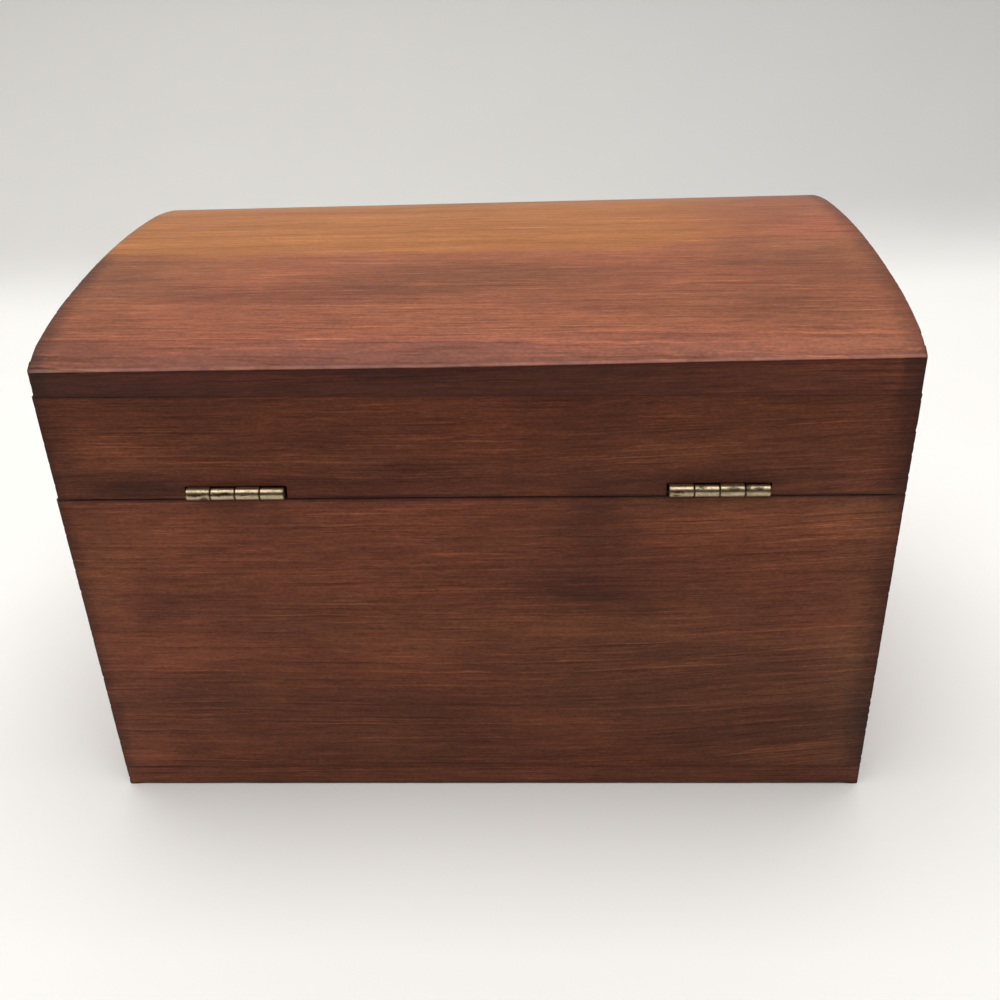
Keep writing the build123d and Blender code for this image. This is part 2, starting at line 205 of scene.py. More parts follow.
# ------------------------------------------------------------------ boards as meshes
def graded(lo, hi, step, ends=(0.1, 0.24, 0.42, 0.66, 1.1, 1.8), keep=()):
    """Planes from lo to hi, closer together near both ends, and exactly at keep."""
    n = max(1, int(round((hi - lo) / step)))
    vals = set(np.round(np.linspace(lo, hi, n + 1), 5))
    for e in ends:
        vals |= {round(lo + e, 5), round(hi - e, 5)}
    vals = sorted(vals)
    out = []
    must = {round(k, 5) for k in keep} | {round(lo, 5), round(hi, 5)}
    must |= {round(lo + e, 5) for e in ends} | {round(hi - e, 5) for e in ends}
    for v in sorted(set(vals) | must):
        if v < lo - 1e-6 or v > hi + 1e-6:
            continue
        near = min(abs(v - m) for m in must if m != v) if len(must) > 1 else 9
        if v not in must and near < 0.35 * step:
            continue
        out.append(v)
    return np.array(out)


def lattice(xs, ys, zs, solid):
    """The closed skin of the solid cells of a grid, as points and quads."""
    xc, yc, zc = (0.5 * (v[1:] + v[:-1]) for v in (xs, ys, zs))
    inside = np.zeros((len(xc) + 2, len(yc) + 2, len(zc) + 2), bool)
    inside[1:-1, 1:-1, 1:-1] = solid(xc[:, None, None], yc[None, :, None], zc[None, None, :])
    nx, ny, nz = len(xs), len(ys), len(zs)

    def vid(i, j, k):
        return (i * ny + j) * nz + k

    quads = []
    for axis in range(3):
        a = inside
        b = np.roll(inside, -1, axis)
        for sign, mask in ((1, a & ~b), (-1, ~a & b)):
            i, j, k = np.nonzero(mask)
            if axis == 0:  # face between cell i-1 and cell i of the unpadded grid, at plane i
                i, j, k = i, j - 1, k - 1
                ok = (j >= 0) & (k >= 0) & (j < ny - 1) & (k < nz - 1)
                i, j, k = i[ok], j[ok], k[ok]
                q = [vid(i, j, k), vid(i, j + 1, k), vid(i, j + 1, k + 1), vid(i, j, k + 1)]
            elif axis == 1:
                i, j, k = i - 1, j, k - 1
                ok = (i >= 0) & (k >= 0) & (i < nx - 1) & (k < nz - 1)
                i, j, k = i[ok], j[ok], k[ok]
                q = [vid(i, j, k), vid(i, j, k + 1), vid(i + 1, j, k + 1), vid(i + 1, j, k)]
            else:
                i, j, k = i - 1, j - 1, k
                ok = (i >= 0) & (j >= 0) & (i < nx - 1) & (j < ny - 1)
                i, j, k = i[ok], j[ok], k[ok]
                q = [vid(i, j, k), vid(i + 1, j, k), vid(i + 1, j + 1, k), vid(i, j + 1, k)]
            q = np.stack(q, 1)
            quads.append(q if sign > 0 else q[:, ::-1])
    quads = np.concatenate(quads)
    used, flat = np.unique(quads.ravel(), return_inverse=True)
    quads = flat.reshape(-1, 4)
    pts = np.stack(
        [xs[used // (ny * nz)], ys[(used // nz) % ny], zs[used % nz]], 1
    ).astype(float)
    return pts, quads


def ease(da, db, r):
    """Rounds the arris between two faces, given each point's distance below both."""
    on = (da < r) & (db < r) & (np.minimum(da, db) < 1e-5)
    va, vb = r - da, r - db
    length = np.maximum(np.hypot(va, vb), 1e-9)
    return (
        np.where(on, r - va * r / length, da),
        np.where(on, r - vb * r / length, db),
    )


def to_object(name, pts, quads, attrs, material, body, nodes, slot="stained_wood", angle=38):
    me = bpy.data.meshes.new(name)
    me.vertices.add(len(pts))
    me.vertices.foreach_set("co", (pts * MM).astype(np.float32).ravel())
    me.loops.add(quads.size)
    me.loops.foreach_set("vertex_index", quads.astype(np.int32).ravel())
    me.polygons.add(len(quads))
    me.polygons.foreach_set("loop_start", np.arange(0, quads.size, 4, dtype=np.int32))
    me.update(calc_edges=True)
    for key, values in attrs.items():
        att = me.attributes.new(key, "FLOAT", "POINT")
        att.data.foreach_set("value", np.asarray(values, np.float32))
    me.shade_smooth()
    me.set_sharp_from_angle(angle=math.radians(angle))
    me.validate()
    ob = bpy.data.objects.new(name, me)
    bpy.context.scene.collection.objects.link(ob)
    me.materials.append(material)
    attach(ob, body)
    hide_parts(*nodes)
    return ob


class Board:
    """A board as a grid skin, eased and worn in terms of its distance below each face."""

    def __init__(self, xs, ys, ws, solid, zt, zb, seed, foot=None):
        self.p, self.quads = lattice(xs, ys, ws, solid)
        self.zt, self.zb, self.seed = zt, zb, seed
        x, y, w = self.p.T
        self.w = w
        self.lo = np.array([xs[0], ys[0]])
        self.hi = np.array([xs[-1], ys[-1]])
        top, bot = zt(x, y), zb(x, y)
        if foot is None:
            self.z = bot + (top - bot) * w
        else:  # the layers up to w = wf stay square to the bottom
            wf, hf = foot
            self.z = np.where(w <= wf, bot + hf * w / wf, bot + hf + (top - bot - hf) * (w - wf) / (1 - wf))
        self.x, self.y = x.copy(), y.copy()
        self.rest = (self.x.copy(), self.y.copy(), self.z.copy())
        n = len(x)
        self.attr = {"relief": np.zeros(n), "arris": np.zeros(n), "endg": np.zeros(n)}
        self.near = np.full(n, 99.0)  # distance to the nearest outside arris
        self.groove = np.full(n, 99.0)  # and to the nearest one where stain has pooled, or where painted shade marks the seam

    # distance below each outer face
    def d(self, face):
        if face == "x-":
            return self.x - self.lo[0]
        if face == "x+":
            return self.hi[0] - self.x
        if face == "y-":
            return self.y - self.lo[1]
        if face == "y+":
            return self.hi[1] - self.y
        if face == "z+":
            return self.zt(self.x, self.y) - self.z
        if face == "z-":
            return self.z - self.zb(self.x, self.y)
        axis, at, sign = face  # any other plane: ("y", 48.25, +1) is solid on the + side
        v = {"x": self.x, "y": self.y, "z": self.z}[axis]
        return (v - at) * sign

    def put(self, face, dist, mask):
        m = mask
        if face == "x-":
            self.x[m] = self.lo[0] + dist[m]
        elif face == "x+":
            self.x[m] = self.hi[0] - dist[m]
        elif face == "y-":
            self.y[m] = self.lo[1] + dist[m]
        elif face == "y+":
            self.y[m] = self.hi[1] - dist[m]
        elif face == "z+":
            self.z[m] = (self.zt(self.x, self.y) - dist)[m]
        elif face == "z-":
            self.z[m] = (self.zb(self.x, self.y) + dist)[m]
        else:
            axis, at, sign = face
            v = {"x": self.x, "y": self.y, "z": self.z}[axis]
            v[m] = (at + sign * dist)[m]

    def round(self, a, b, r, where=None, teeth=0.0, along=None, worn=0.0, outside=True, pool_and_seam_shade=True):
        """Eases the arris of faces a and b, with tear-outs and uneven sanding along it."""
        da, db = self.d(a), self.d(b)
        near = (da > -1e-5) & (db > -1e-5)
        if where is not None:
            near &= where(*self.rest)
        if outside:
            dist = np.hypot(da, db)
            self.near = np.where(near, np.minimum(self.near, dist), self.near)
            if pool_and_seam_shade:
                self.groove = np.where(near, np.minimum(self.groove, dist), self.groove)
        na, nb = ease(da, db, r)
        m = near & ((da < r) & (db < r))
        keepa, keepb = na.copy(), nb.copy()
        if teeth or worn:
            t = {"x": self.rest[0], "y": self.rest[1], "z": self.rest[2]}[along]
            cut = teeth * sawteeth(t, self.seed + len(along) * 7 + ord(str(a)[0]) + 3 * ord(str(a)[-1]))
            cut = cut + worn * np.maximum(0, 0.35 + fbm(t / 6.0, t * 0 + 1.7, self.seed + 41, 3))
            fall = np.exp(-(da + db) / 0.55)
            m = near & (da < 2.2) & (db < 2.2) & (np.minimum(da, db) < 1e-5)
            keepa = np.where(m, na + cut * fall * 0.8, na)
            keepb = np.where(m, nb + cut * fall * 0.8, nb)
        # a face's own points only sink along it when they lie on it
        self.put(a, keepa, m)
        self.put(b, keepb, m)

    def sink(self, face, mask, depth):
        """Lowers the points of one face by depth (a face's own, whole array)."""
        d = self.d(face)
        self.put(face, d + depth, mask)

    def grain(self, field, order="xyz"):
        """Stores the place across the grain and the ring count at every point."""
        p = dict(zip("xyz", self.rest))
        a, b, c = (p[k] for k in order)
        self.along = a
        self.attr["across"], self.attr["ring"] = field(a, b, c)

    def finish(self, name, material, body, nodes, **kw):
        self.attr["arris"] = np.exp(-self.near / 0.8)
        # stain pooled at outside arrises, plus painted shade along the seam between lid and body
        self.attr["pool_and_seam_shade"] = np.exp(-((self.groove / 0.30) ** 2))
        self.attr["near"] = np.minimum(self.near, 30.0)
        pts = np.stack([self.x, self.y, self.z], 1)
        return to_object(name, pts, self.quads, self.attr, material, body, nodes, **kw)


def const(v):
    return lambda x, y: np.full(np.shape(x), float(v)) + 0 * x


def w_of(vals, lo, hi):
    return (np.asarray(vals) - lo) / (hi - lo)


FINE = 0.30  # across the grain
ENDS = (0.08, 0.2, 0.36, 0.56, 0.9, 1.5)
THIN = (0.1, 0.24, 0.5)


def relief_on(b, face, amount, guard=0.35, extra=None, proudest=2.0):
    """Cuts the grain into the points of one face."""
    m = np.abs({"y": b.rest[1], "x": b.rest[0], "z": b.w}[face[0]] - {
        "y+": b.hi[1], "y-": b.lo[1], "x+": b.hi[0], "x-": b.lo[0], "z+": 1.0, "z-": 0.0
    }[face]) < 1e-6
    g = relief_of(b.along, b.attr["across"], b.attr["ring"], b.seed)
    if extra is not None:
        g = g + extra(*b.rest)
    b.attr["relief"] = np.where(m, g, b.attr["relief"])
    fade = smooth(0.0, guard, b.near)
    b.sink(face, m, -amount * (np.clip(g, -3.5, 2.0) - 2.0 + proudest) * fade)
    return m


MAT = {}


def long_panel(name, body, nodes, y_sign, lid, field, seed, material, gains=(), extra=None):
    """A front or back panel, or its rail in the lid: rabbeted at both ends."""
    yo, yi, yr = HY * y_sign, (HY - WALL) * y_sign, (HY - RAB) * y_sign
    z0, z1 = (SEAM, JOINT) if lid else (BOT, SEAM)
    zb, zt = (seam_z, joint_z) if lid else (const(BOT), seam_z)
    keep, zkeep = [-IX, IX], []
    for gx in gains:
        keep += [gx - GAIN, gx + GAIN]
        zkeep = [z0 + GAIN_H]
    xl, xr = (LXL, LXR) if lid else (-HX, HX)
    xs = graded(xl, xr, 2.0, ENDS, keep)
    ys = np.array(sorted({yo, yi, yr, *(yo - y_sign * np.array(ENDS[:5])), *(yi + y_sign * np.array(THIN[:2])), yr + 0.1, yr - 0.1, yr + 0.24, yo - y_sign * 2.2, yr - y_sign * 1.5}))
    zs = graded(z0, z1, FINE, (0.07, 0.16, 0.28), zkeep)
    ws = w_of(zs, z0, z1)

    def solid(x, y, w):
        z = z0 + w * (z1 - z0)
        full = (np.abs(x) < 1e9) & (y == y) & (w == w)
        full = full & ~((np.abs(x) > IX) & ((y - yr) * y_sign < 0))
        for gx in gains:
            full = full & ~((np.abs(x - gx) < GAIN) & (z < z0 + GAIN_H))
        return full

    foot = (GAIN_H / (z1 - z0), GAIN_H) if gains else None
    b = Board(xs, ys, ws, solid, zt, zb, seed, foot)
    b.grain(field)
    out, inn = ("y+", "y-") if y_sign > 0 else ("y-", "y+")
    lip = ("y", yr, y_sign)
    seam, joint = ("z-", "z+") if lid else ("z+", "z-")
    for end in ("x-", "x+"):
        b.round(end, out, 0.30 if end == "x-" else 0.42, teeth=1.0, along="z", worn=0.06)
        b.round(end, seam, 0.20, where=lambda x, y, z: (y - yr) * y_sign > -1e-6, teeth=0.5, along="y")
        b.round(end, joint, 0.14 if end == "x-" else 0.50 if lid else 0.12, where=lambda x, y, z: (y - yr) * y_sign > -1e-6)
        b.round(end, lip, 0.10, where=lambda x, y, z: (np.abs(x) > IX + 0.5) & ((y - yr) * y_sign > -1e-6), outside=False)
    gap = (lambda x, y, z: np.min([np.abs(x - gx) for gx in gains], axis=0) > GAIN - 1e-6) if gains else None
    b.round(out, seam, 0.24, where=gap, teeth=0.35, along="x", worn=0.07)
    b.round(out, joint, 0.07, pool_and_seam_shade=False)
    b.round(inn, seam, 0.24, where=lambda x, y, z: (np.abs(x) < IX + 1e-6) & (gap(x, y, z) if gap else True), outside=False)
    relief_on(b, out, 0.026, extra=extra)
    b.attr["endg"] = np.where((b.rest[0] < xl + 1e-6) | (b.rest[0] > xr - 1e-6), 1.0, 0.0)
    return b.finish(name, MAT[material], body, nodes)


def side_panel(name, body, nodes, x_sign, lid, field, seed, material):
    """A side panel or its rail: stands between the rabbets, grain along Y."""
    xo, xi = (HX * x_sign, LXL, LXR)[0 if not lid else 1 if x_sign < 0 else 2], IX * x_sign
    y_end = HY - RAB
    z0, z1 = (SEAM, JOINT) if lid else (BOT, SEAM)
    zb, zt = (seam_z, joint_z) if lid else (const(BOT), seam_z)
    xs = np.array(sorted({xo, xi, *(xo - x_sign * np.array(ENDS[:5])), *(xi + x_sign * np.array(THIN[:2])), 0.5 * (xo + xi)}))
    ys = graded(-y_end, y_end, 2.0, (0.1, 0.3, 0.8), ())
    zs = graded(z0, z1, FINE, (0.07, 0.16, 0.28), ())
    b = Board(xs, ys, w_of(zs, z0, z1), lambda x, y, w: (x == x) & (y == y) & (w == w), zt, zb, seed)
    b.grain(field, "yxz")
    out, inn = ("x+", "x-") if x_sign > 0 else ("x-", "x+")
    seam, joint = ("z-", "z+") if lid else ("z+", "z-")
    b.round(out, seam, 0.24, teeth=0.35, along="y", worn=0.07)
    b.round(out, joint, 0.10, pool_and_seam_shade=False)
    b.round(out, "y-", 0.10, outside=False)
    b.round(out, "y+", 0.10, outside=False)
    b.round(inn, seam, 0.24, outside=False)
    relief_on(b, out, 0.026)
    return b.finish(name, MAT[material], body, nodes)


def bottom_board(material):
    xs = graded(-HX, HX, 2.0, ENDS)
    ys = graded(-HY, HY, 0.75, ENDS)
    zs = graded(0, BOT, 0.32, (0.07, 0.16, 0.28, 0.45))
    b = Board(xs, ys, w_of(zs, 0, BOT), lambda x, y, w: (x == x) & (y == y) & (w == w), const(BOT), const(0), 301)
    b.grain(lambda x, y, z: grain_plain(311, 2.6, 0.006)(x, z, y))
    for end in ("x-", "x+"):
        for side in ("y-", "y+"):
            b.round(end, side, 0.30 if end == "x-" else 0.42, teeth=1.0, along="z", worn=0.06)
        b.round(end, "z-", 0.42, teeth=0.6, along="y", worn=0.12)
        b.round(end, "z+", 0.12)
    for side in ("y-", "y+"):
        b.round(side, "z-", 0.42, teeth=0.35, along="x", worn=0.12)
        b.round(side, "z+", 0.07, pool_and_seam_shade=False)
    for side in ("y-", "y+"):
        b.grain(lambda x, y, z: grain_plain(313, 1.6, 0.006)(x, y, z))
        relief_on(b, side, 0.024)
    b.grain(lambda x, y, z: np.where(
        np.abs(y) > HY - 1e-4, grain_plain(313, 1.6, 0.006)(x, y, z), grain_plain(311, 3.6, 0.010)(x, z, y)
    ))
    relief_on(b, "z-", 0.016, proudest=0.0)
    b.attr["endg"] = np.where(np.abs(b.rest[0]) > HX - 1e-6, 1.0, 0.0)
    return b.finish("bottom_board_wood", MAT[material], "box", ["bottom_board"])


def top_z(x, y):
    """The dome, its back arris sanded a little low in the middle."""
    return dome(y) - 0.30 * np.exp(-(((x - 4.0) / 46.0) ** 2)) * smooth(HY - 9.0, HY, y)


def top_board(material):
    xs = graded(TLX, TRX, 2.0, ENDS)
    ys = graded(-HY, HY, FINE, ENDS[:5])
    # share of the thickness, closer together at the top arris
    ws = np.array([0, 0.02, 0.06, 0.14, 0.26, 0.4, 0.54, 0.68, 0.8, 0.88, 0.93, 0.965, 0.985, 1.0])
    b = Board(xs, ys, ws, lambda x, y, w: (x == x) & (y == y) & (w == w), top_z, joint_z, 71)
    edge = grain_plain(77, 1.25, 0.010, 0.35)
    b.grain(lambda x, y, z: np.where(
        (np.abs(y) > HY - 1e-4) & (z < TOPE - 0.5), edge(x, 0 * y, z), grain_top(x, y, z)
    ))
    for end in ("x-", "x+"):
        for side in ("y-", "y+"):
            b.round(end, side, 0.22 if end == "x-" else 0.48, teeth=0.7, along="z", worn=0.05)
        b.round(end, "z+", 0.32, teeth=0.7, along="y", worn=0.10, pool_and_seam_shade=False)
        b.round(end, "z-", 0.14 if end == "x-" else 0.50)
    for side in ("y-", "y+"):
        b.round(side, "z+", 0.14, teeth=0.4, along="x", worn=0.06, pool_and_seam_shade=False)
        b.round(side, "z-", 0.07, pool_and_seam_shade=False)
    relief_on(b, "z+", 0.016, guard=0.2)
    for side in ("y-", "y+"):
        relief_on(b, side, 0.022)
    b.attr["endg"] = np.where((b.rest[0] < TLX + 1e-6) | (b.rest[0] > TRX - 1e-6), 1.0, 0.0)
    return b.finish("lid_top_board_wood", MAT[material], "lid", ["lid_top_board"])


# ------------------------------------------------------------------ shader maths
class Tree:
    """Writes node trees as expressions. Values are floats, tuples or sockets."""

    def __init__(self, name):
        self.mat = bpy.data.materials.new(name)
        self.mat.use_nodes = True
        self.nt = self.mat.node_tree
        self.nt.nodes.clear()
        self.out = self.node("ShaderNodeOutputMaterial")
        self.bsdf = self.node("ShaderNodeBsdfPrincipled")
        self.nt.links.new(self.bsdf.outputs[0], self.out.inputs["Surface"])
        co = self.node("ShaderNodeTexCoord")
        self.object = co.outputs["Object"]
        self.p = self.vmul(self.object, (1000.0, 1000.0, 1000.0))  # in mm
        self.x, self.y, self.z = self.split(self.p)

    def node(self, kind, **props):
        n = self.nt.nodes.new(kind)
        for k, v in props.items():
            setattr(n, k, v)
        return n

    def feed(self, socket, value):
        if isinstance(value, bpy.types.NodeSocket):
            self.nt.links.new(value, socket)
        elif isinstance(value, (int, float)):
            if hasattr(socket.default_value, "__len__"):
                size = len(socket.default_value)
                socket.default_value = [value] * 3 + [1.0] * (size - 3)
            else:
                socket.default_value = value
        else:
            value = list(value)
            size = len(socket.default_value)
            socket.default_value = (value + [1.0])[:size]

    def m(self, op, a, b=None, c=None, clamp=False):
        n = self.node("ShaderNodeMath", operation=op, use_clamp=clamp)
        self.feed(n.inputs[0], a)
        if b is not None:
            self.feed(n.inputs[1], b)
        if c is not None:
            self.feed(n.inputs[2], c)
        return n.outputs[0]

    def add(self, *v):
        out = v[0]
        for w in v[1:]:
            out = self.m("ADD", out, w)
        return out

    def sub(self, a, b):
        return self.m("SUBTRACT", a, b)

    def mul(self, *v):
        out = v[0]
        for w in v[1:]:
            out = self.m("MULTIPLY", out, w)
        return out

    def mad(self, a, b, c):
        return self.m("MULTIPLY_ADD", a, b, c)

    def split(self, v):
        n = self.node("ShaderNodeSeparateXYZ")
        self.feed(n.inputs[0], v)
        return n.outputs[0], n.outputs[1], n.outputs[2]

    def join(self, x, y, z):
        n = self.node("ShaderNodeCombineXYZ")
        for s, v in zip(n.inputs, (x, y, z)):
            self.feed(s, v)
        return n.outputs[0]

    def vmul(self, a, b):
        n = self.node("ShaderNodeVectorMath", operation="MULTIPLY")
        self.feed(n.inputs[0], a)
        self.feed(n.inputs[1], b)
        return n.outputs[0]

    def vadd(self, a, b):
        n = self.node("ShaderNodeVectorMath", operation="ADD")
        self.feed(n.inputs[0], a)
        self.feed(n.inputs[1], b)
        return n.outputs[0]

    def noise(self, vec, scale=(1, 1, 1), shift=0.0, detail=2.0, rough=0.5, lac=2.0):
        v = self.vmul(vec, scale)
        if shift:
            v = self.vadd(v, (shift, shift * 0.37, shift * 1.71))
        n = self.node("ShaderNodeTexNoise", noise_dimensions="3D")
        self.feed(n.inputs["Vector"], v)
        n.inputs["Scale"].default_value = 1.0
        n.inputs["Detail"].default_value = detail
        n.inputs["Roughness"].default_value = rough
        n.inputs["Lacunarity"].default_value = lac
        return n.outputs["Fac"]

    def ramp01(self, v, lo, hi, smooth=True):
        n = self.node("ShaderNodeMapRange", interpolation_type="SMOOTHSTEP" if smooth else "LINEAR", clamp=True)
        self.feed(n.inputs[0], v)
        n.inputs[1].default_value = lo
        n.inputs[2].default_value = hi
        n.inputs[3].default_value = 0.0
        n.inputs[4].default_value = 1.0
        return n.outputs[0]

    def colours(self, fac, stops):
        n = self.node("ShaderNodeValToRGB")
        r = n.color_ramp
        r.interpolation = "LINEAR"
        while len(r.elements) < len(stops):
            r.elements.new(0.5)
        for e, (at, col) in zip(r.elements, stops):
            e.position = at
            e.color = (*col, 1.0)
        self.feed(n.inputs[0], fac)
        return n.outputs[0]

    def mix(self, fac, a, b, blend="MIX"):
        n = self.node("ShaderNodeMix", data_type="RGBA", blend_type=blend)
        n.clamp_factor = True
        self.feed(n.inputs[0], fac)
        self.feed(n.inputs[6], a)
        self.feed(n.inputs[7], b)
        return n.outputs[2]

    def attribute(self, name):
        n = self.node("ShaderNodeAttribute", attribute_type="GEOMETRY", attribute_name=name)
        return n.outputs["Fac"]

    def blob(self, u, v, cu, cv, ru, rv, soft=0.9):
        """1 in the middle of an ellipse, 0 outside it."""
        du = self.m("DIVIDE", self.sub(u, cu), ru)
        dv = self.m("DIVIDE", self.sub(v, cv), rv)
        r = self.m("SQRT", self.add(self.mul(du, du), self.mul(dv, dv)))
        return self.ramp01(r, 1.0, 1.0 - soft)

    def finish(self, colour, rough, bump=None, height=0.00003, **consts):
        self.feed(self.bsdf.inputs["Base Color"], colour)
        self.feed(self.bsdf.inputs["Roughness"], rough)
        if bump is not None:
            n = self.node("ShaderNodeBump")
            n.inputs["Strength"].default_value = 1.0
            n.inputs["Distance"].default_value = height
            self.feed(n.inputs["Height"], bump)
            self.nt.links.new(n.outputs[0], self.bsdf.inputs["Normal"])
        for k, v in consts.items():
            self.bsdf.inputs[k.replace("_", " ")].default_value = v
        return self.mat


# Tone runs from stain pooled nearly black, through red-brown, to bare-looking orange.
def stain(t):
    k = t - 0.5
    return (0.165 * math.exp(3.3 * k), 0.0447 * math.exp(3.75 * k), 0.0197 * math.exp(3.8 * k))


STAIN = [(n / 10, stain(n / 10)) for n in range(11)]
BARE = [
    (0.0, (0.24, 0.115, 0.058)),
    (0.5, (0.46, 0.255, 0.135)),
    (1.0, (0.62, 0.400, 0.240)),
]


def wood(name, along, tone, spots=(), seed=0.0, hue=None, margins=None, rough=0.50, inner=None, contrast=1.0, spec=0.22):
    """Stained softwood. along is the grain's axis, tone the overall level. spots are
    clouds in the stain: (plane, strength, u, v, half width, half height), in mm."""
    t = Tree(name)
    a, third = (t.x, t.y) if along == "x" else (t.y, t.x)
    ring = t.attribute("ring")
    relief = t.attribute("relief")
    arris = t.attribute("arris")
    pool_and_seam_shade = t.attribute("pool_and_seam_shade")
    endg = t.attribute("endg")
    flat = t.join(a, t.z, third)
    across = t.attribute("across")
    wander = t.sub(t.noise(t.join(a, across, third), (0.10, 0.30, 0.15), seed + 3.3, 2.0, 0.5), 0.5)
    across = t.mad(wander, 0.7, across)
    ring = t.mad(wander, 0.45, ring)
    g = t.join(a, across, third)

    def layer(fa, fc, shift, detail=0.0, gain=0.5):
        return t.sub(t.noise(g, (fa, fc, 0.5 * fc), seed + shift, detail, gain), 0.5)

    # streaks along the grain, from soft bands down to single fibres
    broad = layer(0.030, 0.155, 7.7, 1.0)
    band = layer(0.034, 0.36, 12.9, 1.0)
    streak = layer(0.034, 0.80, 1.3, 1.0)
    thread = layer(0.180, 1.45, 5.9)
    fibre = layer(0.42, 2.7, 8.3, 1.0)
    grit = layer(1.30, 3.2, 31.7)
    dark = t.ramp01(layer(0.044, 1.6, 9.2, 1.0, 0.5), 0.09, 0.16)
    light = t.ramp01(layer(0.042, 2.1, 2.4, 1.0, 0.5), 0.10, 0.17)
    where = t.ramp01(layer(0.022, 0.11, 19.4, 1.0), -0.08, 0.10)
    # growth rings: dark late wood that stops at once, then a light line
    n = t.node("ShaderNodeTexWhiteNoise", noise_dimensions="1D")
    t.feed(n.inputs["W"], t.m("FLOOR", ring))
    heavy = n.outputs["Value"]
    f = t.m("FRACT", ring)
    late = t.m("POWER", f, 5.0)
    early = t.mul(t.ramp01(f, 0.0, 0.05), t.ramp01(f, 0.24, 0.08))
    come = t.ramp01(t.noise(t.join(a, ring, third), (0.034, 0.9, 0.2), seed + 27.0, 2.0, 0.5), 0.38, 0.62)
    rings = t.mul(t.add(t.mul(early, 0.8), t.mul(late, -1.0)), t.mad(heavy, 0.8, 0.2), come)
    clouds = t.noise(flat, (0.018, 0.045, 0.045), seed + 4.4, 2.0, 0.55)
    mottle = t.noise(flat, (0.09, 0.20, 0.20), seed + 6.6, 2.0, 0.5)
    lines = t.add(
        t.mul(broad, 0.09),
        t.mul(band, 0.085),
        t.mul(streak, 0.12),
        t.mul(thread, 0.14),
        t.mul(fibre, 0.22),
        t.mul(grit, 0.165),
        t.mul(dark, -0.065),
        t.mul(light, t.mad(where, 0.095, 0.035)),
        t.mul(rings, 0.16),
        t.mul(relief, 0.010),
    )
    tone_v = t.add(
        tone,
        t.mul(t.sub(clouds, 0.5), 0.30),
        t.mul(t.sub(mottle, 0.5), 0.09),
        t.mul(lines, contrast),
        t.mul(arris, -0.08),
        # darker where stain pooled at the arrises, and painted shade along the seam between lid and body
        t.mul(pool_and_seam_shade, -0.32),
        t.mul(endg, -0.15),
    )
    if spots:
        # ragged edges that follow the grain
        rag = t.sub(t.noise(g, (0.05, 0.9, 0.4), seed + 8.8, 3.0, 0.6), 0.5)
        rag2 = t.sub(t.noise(flat, (0.06, 0.12, 0.12), seed + 12.1, 2.0, 0.5), 0.5)
        for face, amount, cu, cv, ru, rv in spots:
            uu, vv = {"xz": (t.x, t.z), "xy": (t.x, t.y), "yz": (t.y, t.z)}[face]
            uu = t.add(uu, t.mul(rag2, 0.9 * min(ru, 14)))
            vv = t.add(vv, t.mul(rag, 0.8 * min(rv, 8)), t.mul(rag2, 0.6 * min(rv, 8)))
            tone_v = t.add(tone_v, t.mul(t.blob(uu, vv, cu, cv, ru, rv), amount))
    if margins is not None:
        tone_v = t.add(tone_v, margins(t, g, seed))
    colour = t.colours(t.m("ADD", tone_v, 0.0, clamp=True), STAIN)
    # the stain goes from red to brown across the board
    tint = t.noise(flat, (0.010, 0.03, 0.03), seed + 15.0, 1.0, 0.5)
    colour = t.mix(t.ramp01(tint, 0.35, 0.65), t.mix(1.0, colour, (1.02, 0.95, 0.95), "MULTIPLY"), t.mix(1.0, colour, (0.99, 1.05, 1.0), "MULTIPLY"))
    if hue is not None:
        colour = hue(t, colour, g, seed, lines)
    r = t.add(rough, t.mul(streak, 0.16), t.mul(endg, 0.18), t.mul(dark, 0.10))
    if inner is not None:
        bare = inner(t, g, seed)
        bt = t.add(0.5, t.mul(lines, 2.0))
        raw = t.colours(t.m("ADD", bt, 0.0, clamp=True), BARE)
        colour = t.mix(bare, colour, raw)
        r = t.add(r, t.mul(bare, 0.22))
    bump = t.add(t.mul(streak, 0.9), t.mul(thread, 0.7), t.mul(fibre, 0.5), t.mul(grit, 0.22), t.mul(dark, -0.30), t.mul(light, 0.22), t.mul(rings, 0.45))
    return t.finish(colour, r, bump, 0.00006, IOR=1.45, Specular_IOR_Level=spec)


# ------------------------------------------------------------------ materials
def inside_walls(sign, axis, face):
    """Bare wood on the inside of a wall, with the stain run over its rim."""

    def mask(t, g, seed):
        v = {"x": t.x, "y": t.y}[axis]
        u, reach = {"x": (t.y, IY), "y": (t.x, IX)}[axis]
        below = t.mul(t.sub(face, v), sign)  # depth below the outside face
        rag = t.mul(t.sub(t.noise(g, (0.25, 0.6, 0.6), seed + 21.0, 2.0), 0.5), 1.6)
        return t.mul(t.ramp01(t.add(below, rag), 5.9, 6.9), t.ramp01(t.m("ABSOLUTE", u), reach + 0.3, reach))

    return mask


def within(t):
    """1 over the inside of the box, 0 over its walls."""
    return t.mul(t.ramp01(t.m("ABSOLUTE", t.x), IX + 0.3, IX - 0.3), t.ramp01(t.m("ABSOLUTE", t.y), IY + 0.3, IY - 0.3))


def inside_bottom(t, g, seed):
    return t.mul(t.ramp01(t.z, BOT - 0.35, BOT - 0.12), within(t))


def inside_top(t, g, seed):
    over = t.sub(t.z, t.mad(t.x, JRISE, JOINT))
    return t.mul(t.ramp01(over, 0.3, 0.12), within(t))


